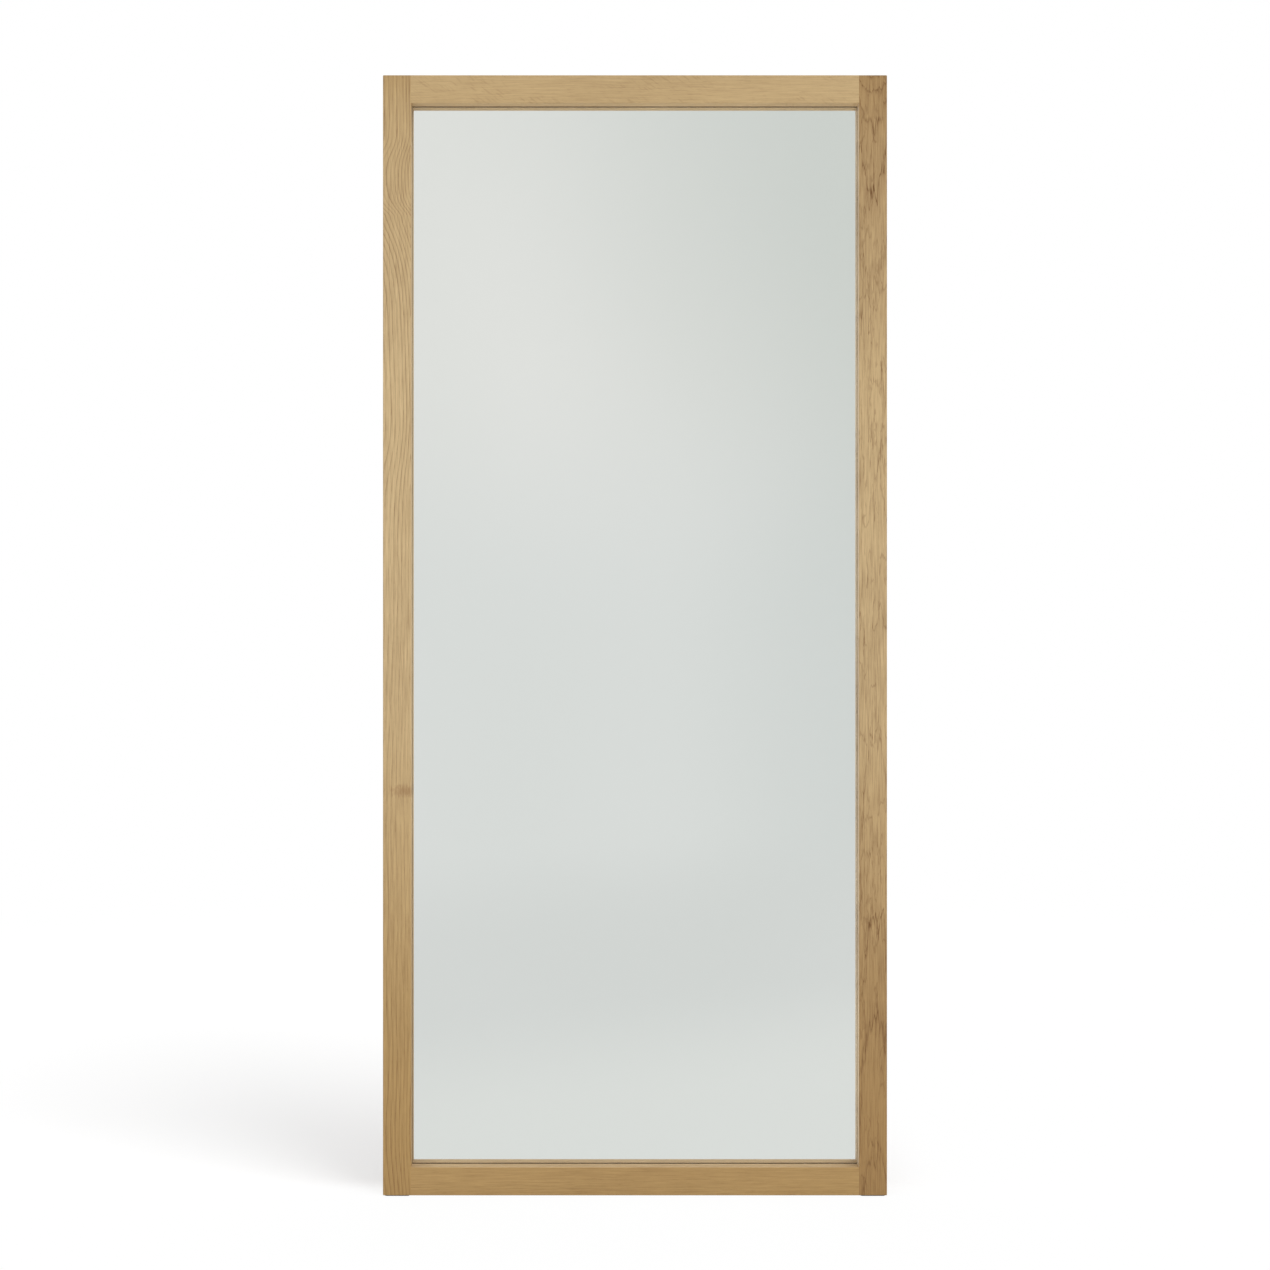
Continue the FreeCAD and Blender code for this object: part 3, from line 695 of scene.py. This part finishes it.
@dataclass(frozen=True)
class FloatGlass:
    """Clear float glass, faintly green."""

    name: str = "float_glass"
    tint: Colour = (0.984, 0.990, 0.988, 1.0)
    refraction: float = 1.52
    smear_cells: Triple = (3.0, 3.0, 2.0)
    smear_border: Span = (0.45, 0.75)
    smear_roughness: float = 0.012

    def material(self) -> bpy.types.Material:
        """Build the glass, with faint smears. Scattered light and shadows pass straight on."""
        material, graph, place = bare_material(self.name)
        smears = graph.noise(place, self.smear_cells, detail=3.0)
        glass = graph.node(
            "BsdfPrincipled",
            {
                "Base Color": self.tint,
                "Roughness": graph.remap(smears, *self.smear_border, 0.0, self.smear_roughness),
                "IOR": self.refraction,
                "Transmission Weight": 1.0,
            },
        ).outputs[0]
        clear = graph.node("BsdfTransparent", {"Color": self.tint}).outputs[0]
        passes = graph.math("MAXIMUM", graph.path("Is Shadow Ray"), graph.scattered())
        graph.node("OutputMaterial", {"Surface": graph.mixed(passes, glass, clear)})
        return material


@dataclass(frozen=True)
class Silvering:
    """The silver behind the glass."""

    middle: Triple  # of the frame's opening
    half_opening: tuple[float, float]  # half its width and half its height
    name: str = "silvering"
    silver: Colour = (0.93, 0.93, 0.925, 1.0)
    aged: Colour = (0.905, 0.91, 0.90, 1.0)
    age_cells: Triple = (1.6, 1.6, 1.1)
    age_border: Span = (0.35, 0.7)
    glow: float = 1.3

    def material(self) -> bpy.types.Material:
        """Build the silver, very slightly uneven.

        Light that has scattered off the frame or the floor meets a glow there, as far as the frame's
        opening reaches, so that the frame's inner edges get the light that a mirror throws back on
        them.
        """
        material, graph, place = bare_material(self.name)
        aged = graph.remap(graph.noise(place, self.age_cells, detail=1.0), *self.age_border)
        metal = graph.node(
            "BsdfPrincipled",
            {
                "Base Color": graph.blend(aged, self.silver, self.aged),
                "Metallic": 1.0,
                "Roughness": 0.0,
            },
        ).outputs[0]
        aside = graph.parts(graph.vector("ABSOLUTE", graph.vector("SUBTRACT", place, self.middle)))
        in_width = graph.math("LESS_THAN", aside["X"], self.half_opening[0])
        in_height = graph.math("LESS_THAN", aside["Z"], self.half_opening[1])
        share = graph.math("MULTIPLY", in_width, in_height)
        share = graph.math("MULTIPLY", share, graph.scattered())
        glow = graph.node("Emission", {"Color": self.silver, "Strength": self.glow}).outputs[0]
        graph.node("OutputMaterial", {"Surface": graph.mixed(share, metal, glow)})
        return material


# ------------------------------------------------------------------------------ the object


def dress(node: str, material: bpy.types.Material) -> None:
    """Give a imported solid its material."""
    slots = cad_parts[node].data.materials
    slots.clear()
    slots.append(material)
    LOG.info("%s wears %s", node, material.name)


def new_piece(name: str, shape: bmesh.types.BMesh, *materials: bpy.types.Material) -> bpy.types.Object:
    """Make a finished bmesh an object that rides on the frame.

    Args:
        name: the piece's name.
        shape: the finished bmesh, which is freed.
        materials: the piece's materials, in the order of its faces' numbers.

    Returns:
        The new object.
    """
    mesh = bpy.data.meshes.new(name)
    shape.to_mesh(mesh)
    shape.free()
    for material in materials:
        mesh.materials.append(material)
    piece = bpy.data.objects.new(name, mesh)
    bpy.context.scene.collection.objects.link(piece)
    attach(piece, BODY)
    LOG.info("%s made, %d faces", name, len(mesh.polygons))
    return piece


@dataclass
class OakFrame:
    """Two stiles that run the full height, with two rails and their dowels between them."""

    pale: Colour = paint(208, 181, 135)
    # the two darker colours: the oak's own tone, and painted shade where less light falls toward the
    # floor and the top
    ripe_and_shaded: Colour = paint(170, 134, 75)
    ripest_and_shaded: Colour = paint(162, 127, 76)
    dark: Colour = paint(110, 71, 24)
    stile_middle: float = (opening_high.x + cad_high.x) / 2
    top_rail_middle: float = (opening_high.z + cad_high.z) / 2
    bottom_rail_middle: float = (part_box("bottom_rail")[0].z + opening_low.z) / 2
    half_height: float = cad_high.z / 2
    knot_aside: float = 0.014  # to the right of the left stile's middle
    knot_height: float = 0.724
    knot_reach: Triple = (0.026, 0.03, 0.011)

    def build(self) -> None:
        """Dress the members and their dowels."""
        members = {
            "left_stile": self.left_stile(),
            "right_stile": self.right_stile(),
            "top_rail": self.top_rail(),
            "bottom_rail": self.bottom_rail(),
        }
        for node, timber in members.items():
            dress(node, timber.material())
        beech = self.beech().material()
        for corner in ("bottom_left", "bottom_right", "top_left", "top_right"):
            dress(f"{corner}_dowels", beech)

    def left_stile(self) -> Timber:
        """Straight-grained oak, with slanting lines near the top and one small knot's mark."""
        knot_place = (self.knot_aside - self.stile_middle, cad_low.y, self.knot_height)
        return Timber(
            name="oak_left_stile",
            lie=Lie.UPRIGHT,
            middle=(-self.stile_middle, 0.0, self.half_height),
            pith=(-0.085, 0.18),
            pale=self.pale,
            ripe_and_shaded=self.ripe_and_shaded,
            dark=self.dark,
            ring_width=0.0027,
            drift=(
                (0.0, 0.007),
                (0.2, 0.010),
                (0.72, 0.010),
                (0.9, 0.007),
                (1.24, 0.006),
                (1.42, 0.001),
                (1.75, 0.018),
                (1.82, 0.028),
                (1.9, 0.021),
                (2.0, 0.021),
            ),
            # painted shade with the timber's tone: darker toward the floor and the top, palest in the
            # middle
            tone_and_shade=((0.0, 0.88), (0.17, 0.84), (0.62, 0.42), (1.06, 0.0), (1.5, 0.0), (2.0, 0.6)),
            figure=(
                (0.0, 1.0),
                (0.28, 0.95),
                (0.4, 0.55),
                (0.65, 0.5),
                (0.85, 0.6),
                (1.15, 0.65),
                (1.35, 1.0),
                (2.0, 1.0),
            ),
            ring_depth=0.6,
            streaks=0.85,
            knot=KnotMark(knot_place, self.knot_reach),
            inner_edge=opening_low.x,
        )

    def right_stile(self) -> Timber:
        """Oak cut across its rings, with ragged arches and veins."""
        return Timber(
            name="oak_right_stile",
            lie=Lie.UPRIGHT,
            middle=(self.stile_middle, 0.0, self.half_height),
            pith=(0.004, 0.10),
            pale=self.pale,
            ripe_and_shaded=self.ripest_and_shaded,
            dark=self.dark,
            ring_width=0.0036,
            drift=((0.0, 0.0), (0.43, 0.010), (0.8, 0.017), (1.15, 0.019), (1.7, 0.013), (2.0, 0.0)),
            # painted shade with the timber's tone: darker toward the floor and the top, palest high in
            # the middle
            tone_and_shade=(
                (0.0, 1.0),
                (0.17, 0.98),
                (0.62, 0.58),
                (1.05, 0.16),
                (1.5, 0.3),
                (1.8, 0.58),
                (2.0, 0.9),
            ),
            waver=0.008,
            jag=0.0045,
            ring_depth=0.9,
            ring_edge=0.4,
            clouds=0.6,
            streaks=1.2,
            veins=0.28,
            pores=0.5,
            inner_edge=opening_high.x,
            # painted highlight along the edge beside the glass
            edge_light_share=1.0,
        )

    def top_rail(self) -> Timber:
        """Quiet oak with a few ray flecks."""
        return Timber(
            name="oak_top_rail",
            lie=Lie.LEVEL,
            middle=(0.0, 0.0, self.top_rail_middle),
            pith=(0.24, 0.03),
            pale=self.pale,
            ripe_and_shaded=self.ripe_and_shaded,
            dark=self.dark,
            ring_width=0.0022,
            # the timber's tone with some painted shade, a little darker than the stiles' middles
            tone_and_shade=((0.0, 0.33), (2.0, 0.22)),
            ring_depth=0.18,
            flecks=0.15,
            inner_edge=opening_high.z,
        )

    def bottom_rail(self) -> Timber:
        """Darker oak, partly its own tone and partly painted shade toward the floor, with fine, even
        lines.
        """
        return Timber(
            name="oak_bottom_rail",
            lie=Lie.LEVEL,
            middle=(0.0, 0.0, self.bottom_rail_middle),
            pith=(-0.22, 0.10),
            pale=self.pale,
            ripe_and_shaded=self.ripe_and_shaded,
            dark=self.dark,
            ring_width=0.0021,
            tone_and_shade=((0.0, 0.78), (2.0, 0.84)),
            ring_depth=0.28,
            streaks=0.7,
            inner_edge=opening_low.z,
            # painted highlight along the edge beside the glass
            edge_light_share=0.3,
        )

    def beech(self) -> Timber:
        """The dowels' plain beech."""
        return Timber(
            name="beech_dowels",
            lie=Lie.LEVEL,
            middle=(0.0, 0.0, self.half_height),
            pith=(0.3, 0.1),
            pale=paint(224, 190, 150),
            ripe_and_shaded=paint(206, 168, 124),
            dark=paint(176, 130, 88),
            ring_width=0.0018,
            ring_depth=0.3,
            pores=0.1,
        )


@dataclass
class Glazing:
    """The silvered pane, and what carries, cushions and backs it."""

    edge_arris: float = 0.0005
    silver_gap: float = 0.0001  # between the silver and the film behind it
    foam: Mottled = Mottled("white_foam", paint(236, 236, 230), paint(214, 214, 206), 0.8)
    film: Mottled = Mottled(
        "safety_film", paint(150, 160, 168), paint(128, 138, 148), 0.3, cloud=(8.0, 8.0, 8.0)
    )
    rubber: Mottled = Mottled("black_rubber", paint(34, 34, 34), paint(52, 52, 50), 0.75)
    silver_face: int = field(default=1, init=False)

    def build(self) -> None:
        """Make the pane, and dress the rest."""
        self.make_pane()
        foam = self.foam.material()
        for side in ("left", "right", "bottom", "top"):
            dress(f"{side}_glazing_tape", foam)
        dress("backing_foam", foam)
        dress("safety_film", self.film.material())
        rubber = self.rubber.material()
        for node in ("setting_blocks", "top_spacers", "side_spacers", "left_foot_pad", "right_foot_pad"):
            dress(node, rubber)

    def silvering(self) -> Silvering:
        """The silver, which knows the opening that the stiles and the rails leave."""
        reach = (opening_high - opening_low) / 2
        return Silvering(tuple((opening_low + opening_high) / 2), (reach.x, reach.z))

    def is_level(self, edge: bmesh.types.BMEdge) -> bool:
        """Whether an edge of the slab lies in its front or its back."""
        start, end = edge.verts
        return abs(start.co.y - end.co.y) < self.edge_arris

    def make_pane(self) -> None:
        """A slab of clear glass with ground edges, whose back face is the silver."""
        low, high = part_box("mirror_pane")
        high.y -= self.silver_gap
        shape = bmesh.new()
        bmesh.ops.create_cube(shape, size=1.0)
        bmesh.ops.scale(shape, vec=high - low, verts=shape.verts)
        bmesh.ops.translate(shape, vec=(low + high) / 2, verts=shape.verts)
        rim = [edge for edge in shape.edges if self.is_level(edge)]
        bmesh.ops.bevel(
            shape,
            geom=rim,
            offset=self.edge_arris,
            segments=1,
            profile=0.5,
            affect="EDGES",
            material=-1,
        )
        shape.normal_update()
        back = max(shape.faces, key=lambda face: face.normal.y)
        back.material_index = self.silver_face
        pane = new_piece("silvered_pane", shape, FloatGlass().material(), self.silvering().material())
        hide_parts("mirror_pane")


@dataclass
class Back:
    """The hardboard panel and the hardware on the frame's back."""

    hardboard: Mottled = Mottled(
        "hardboard",
        paint(112, 82, 58),
        paint(84, 60, 42),
        0.5,
        grain=(700.0, 700.0, 420.0),
        cloud=(9.0, 9.0, 3.0),
    )
    zinc: Mottled = Mottled(
        "zinc_plate",
        paint(205, 207, 210),
        paint(170, 174, 182),
        0.32,
        metallic=1.0,
        grain=(1600.0, 1600.0, 400.0),
        cloud=(120.0, 120.0, 120.0),
    )
    silicone: Mottled = Mottled("grey_silicone", paint(196, 196, 190), paint(176, 176, 170), 0.45)

    def build(self) -> None:
        """Dress the panel, the screws, the hangers and the bumpers."""
        dress("back_panel", self.hardboard.material())
        zinc = self.zinc.material()
        dress("panel_screws", zinc)
        for side in ("left", "right"):
            for piece in ("plate", "ring", "screws"):
                dress(f"{side}_hanger_{piece}", zinc)
        dress("wall_bumpers", self.silicone.material())


# ------------------------------------------------------------------------------ the studio


@dataclass(frozen=True)
class MirroredRoom:
    """The pale room in front of the object, which only the glass and the metal show."""

    bright_wall: Colour = paint(233, 234, 231)
    dim_wall: Colour = paint(214, 218, 214)
    wall_slant: float = 0.35  # how far the wall's shade leans, to the side for each metre up
    wall_shade: Span = (-0.02, 0.19)  # to the right, for each metre ahead
    wall_foot: Span = (0.14, 0.0)  # up, for each metre ahead
    far_floor: Colour = paint(225, 228, 226)
    far_floor_right: Colour = paint(217, 221, 219)
    right_shade: Span = (0.02, 0.14)  # to the right, for each metre ahead
    dim_floor: Colour = paint(219, 222, 220)
    dim_band: Span = (-6.0, -2.6)  # along Y
    near_floor: Colour = paint(226, 229, 226)
    near_band: Span = (-2.0, -0.6)  # along Y
    floor_slant: float = 0.6  # how far the floor's bands lean, along Y for each metre across
    least_ahead: float = 0.05  # keeps what is for each metre ahead in bounds

    def is_seen(self, graph: Graph) -> Socket:
        """Whether the camera sees this by way of glass or metal, and of nothing dull."""
        mirrored = graph.math("MAXIMUM", graph.path("Is Glossy Ray"), graph.path("Is Transmission Ray"))
        return graph.math("GREATER_THAN", mirrored, graph.scattered())

    def horizon(self, graph: Graph, right: Socket) -> Socket:
        """The tone where the floor meets the wall.

        Args:
            graph: the graph to work in.
            right: how far to the right it lies, for each metre ahead of the camera.

        Returns:
            The colour.
        """
        return graph.blend(graph.remap(right, *self.right_shade), self.far_floor, self.far_floor_right)

    def floor_tone(self, graph: Graph, place: Socket, eye_away: float) -> Socket:
        """The floor's colour in the glass.

        Args:
            graph: the graph to work in.
            place: a place on the floor.
            eye_away: how far the camera stands from the glass.

        Returns:
            The colour.
        """
        parts = graph.parts(place)
        from_eye = graph.math("SUBTRACT", eye_away, parts["Y"])
        tone = self.horizon(graph, graph.math("DIVIDE", parts["X"], from_eye))
        band = graph.math("MULTIPLY_ADD", parts["X"], self.floor_slant, parts["Y"])
        tone = graph.blend(graph.remap(band, *self.dim_band), tone, self.dim_floor)
        return graph.blend(graph.remap(band, *self.near_band), tone, self.near_floor)

    def wall_tone(self, graph: Graph, direction: Sockets) -> Socket:
        """The wall's colour in the glass, in a direction given by its X, Y and Z."""
        ahead = graph.math("MAXIMUM", graph.math("MULTIPLY", direction["Y"], -1.0), self.least_ahead)
        right = graph.math("DIVIDE", direction["X"], ahead)
        up = graph.math("DIVIDE", direction["Z"], ahead)
        slant = graph.math("MULTIPLY_ADD", up, self.wall_slant, right)
        wall = graph.blend(graph.remap(slant, *self.wall_shade), self.bright_wall, self.dim_wall)
        return graph.blend(graph.remap(up, *self.wall_foot), wall, self.horizon(graph, right))


@dataclass
class Studio:
    """A white floor, soft light from the front right, and the camera."""

    room: MirroredRoom = MirroredRoom()
    image_side: int = 1270  # pixels
    face_scale: float = 0.001785  # metres in a pixel at the frame's face
    lens: float = 58.0
    sensor: float = 36.0
    eye_height: float = 1.04
    eye_side: float = -0.054
    picture_middle: float = 1.002  # height at the picture's middle row
    fill_ahead: float = 0.60  # the room's strength straight in front of the mirror
    fill_aside: float = 1.15  # and at its sides, above it and below it
    key: float = 0.95
    key_spread: float = math.radians(34)
    key_height: float = math.radians(47)
    key_side: float = math.radians(46)  # to the right of straight ahead
    key_away: float = 4.0
    white: Colour = (1.0, 1.0, 1.0, 1.0)
    floor_reach: float = 60.0
    clean_floor: Colour = (0.90, 0.90, 0.90, 1.0)
    worn_floor: Colour = (0.89, 0.89, 0.89, 1.0)
    wear_cells: Triple = (2.0, 2.0, 2.0)
    shadow_floor: Colour = (0.95, 0.95, 0.95, 1.0)
    shadow_white: float = 0.2  # how much of the shadow's floor is plain white to the camera
    open_white: float = 0.95  # and how much is in front of the object and to its right
    shadow_fade: Span = (0.6, 4.0)  # from the object's middle
    front_fade: Span = (0.10, -0.03)  # along Y
    right_fade: Span = (cad_high.x, cad_high.x + 0.15)  # along X

    @property
    def picture_span(self) -> float:
        """The width that the picture takes in at the frame's face."""
        return self.image_side * self.face_scale

    @property
    def eye_away(self) -> float:
        """How far the camera stands from the frame's face."""
        return self.lens * self.picture_span / self.sensor

    def build(self) -> None:
        """Set the stage."""
        self.make_floor()
        self.make_world()
        self.make_key()
        self.make_camera()

    def make_floor(self) -> None:
        """A wide floor: white with the object's shadow to the camera, pale in the glass."""
        shape = bmesh.new()
        bmesh.ops.create_grid(shape, x_segments=1, y_segments=1, size=self.floor_reach)
        mesh = bpy.data.meshes.new("studio_floor")
        shape.to_mesh(mesh)
        shape.free()
        floor = bpy.data.objects.new("studio_floor", mesh)
        bpy.context.scene.collection.objects.link(floor)
        mesh.materials.append(self.floor_material())

    def floor_material(self) -> bpy.types.Material:
        """The floor's paint, and what the glass and the camera see of it."""
        material, graph, place = bare_material("floor_paint")
        lit = graph.blend(graph.noise(place, self.wear_cells), self.clean_floor, self.worn_floor)
        lit = graph.node("BsdfDiffuse", {"Color": lit}).outputs[0]
        mirrored = self.room.floor_tone(graph, place, self.eye_away)
        mirrored = graph.node("Emission", {"Color": mirrored}).outputs[0]
        layers = graph.mixed(self.room.is_seen(graph), lit, mirrored)
        layers = graph.mixed(graph.path("Is Camera Ray"), layers, self.floor_seen(graph, place))
        graph.node("OutputMaterial", {"Surface": layers})
        return material

    def floor_seen(self, graph: Graph, place: Socket) -> Socket:
        """The floor as the camera sees it: white but for the shadow behind and to the left."""
        away = graph.vector("LENGTH", place)
        white = graph.remap(away, *self.shadow_fade, self.shadow_white, 1.0)
        parts = graph.parts(place)
        for across, fade in ((parts["Y"], self.front_fade), (parts["X"], self.right_fade)):
            whitened = graph.remap(across, *fade, self.shadow_white, self.open_white)
            white = graph.math("MAXIMUM", white, whitened)
        shaded = graph.node("BsdfDiffuse", {"Color": self.shadow_floor}).outputs[0]
        plain = graph.node("Emission", {"Color": self.white}).outputs[0]
        return graph.mixed(white, shaded, plain)

    def make_world(self) -> None:
        """White behind the object, a pale room in the glass, and even light all round."""
        world = bpy.data.worlds.new("studio")
        bpy.context.scene.world = world
        world.use_nodes = True
        world.node_tree.nodes.clear()
        graph = Graph(world.node_tree)
        direction = graph.parts(graph.node("TexCoord").outputs["Generated"])
        wall = self.room.wall_tone(graph, direction)
        mirrored = graph.node("Background", {"Color": wall}).outputs[0]
        white = graph.node("Background", {"Color": self.white}).outputs[0]
        facing = graph.math("ABSOLUTE", direction["Y"])
        more_ahead = self.fill_ahead - self.fill_aside
        strength = graph.math("MULTIPLY_ADD", facing, more_ahead, self.fill_aside)
        ambient = graph.node("Background", {"Color": self.white, "Strength": strength}).outputs[0]
        layers = graph.mixed(self.room.is_seen(graph), ambient, mirrored)
        layers = graph.mixed(graph.path("Is Camera Ray"), layers, white)
        graph.node("OutputWorld", {"Surface": layers})

    def make_key(self) -> None:
        """A broad soft light from the front right, which throws the shadow back and to the left."""
        lamp = bpy.data.lights.new("soft_key", "SUN")
        lamp.energy = self.key
        lamp.angle = self.key_spread
        holder = bpy.data.objects.new("soft_key", lamp)
        level = math.cos(self.key_height)
        source = Vector(
            (
                level * math.sin(self.key_side),
                -level * math.cos(self.key_side),
                math.sin(self.key_height),
            )
        )
        holder.location = source * self.key_away
        holder.rotation_euler = (-source).to_track_quat("-Z", "Y").to_euler()
        bpy.context.scene.collection.objects.link(holder)

    def make_camera(self) -> None:
        """Square to the frame, shifted so that the frame stands in the middle of the picture."""
        camera = bpy.data.cameras.new("camera")
        camera.lens = self.lens
        camera.sensor_width = self.sensor
        camera.shift_x = -self.eye_side / self.picture_span
        camera.shift_y = (self.picture_middle - self.eye_height) / self.picture_span
        holder = bpy.data.objects.new("camera", camera)
        holder.location = (self.eye_side, cad_low.y - self.eye_away, self.eye_height)
        holder.rotation_euler = (math.radians(90), 0.0, 0.0)
        bpy.context.scene.collection.objects.link(holder)
        bpy.context.scene.camera = holder
        bpy.context.scene.view_settings.view_transform = "Standard"


def main() -> None:
    """Dress the mirror piece by piece, then set the studio round it."""
    logging.basicConfig(level=logging.INFO, format="%(name)s: %(message)s")
    OakFrame().build()
    Glazing().build()
    Back().build()
    Studio().build()


if __name__ == "__main__":
    main()
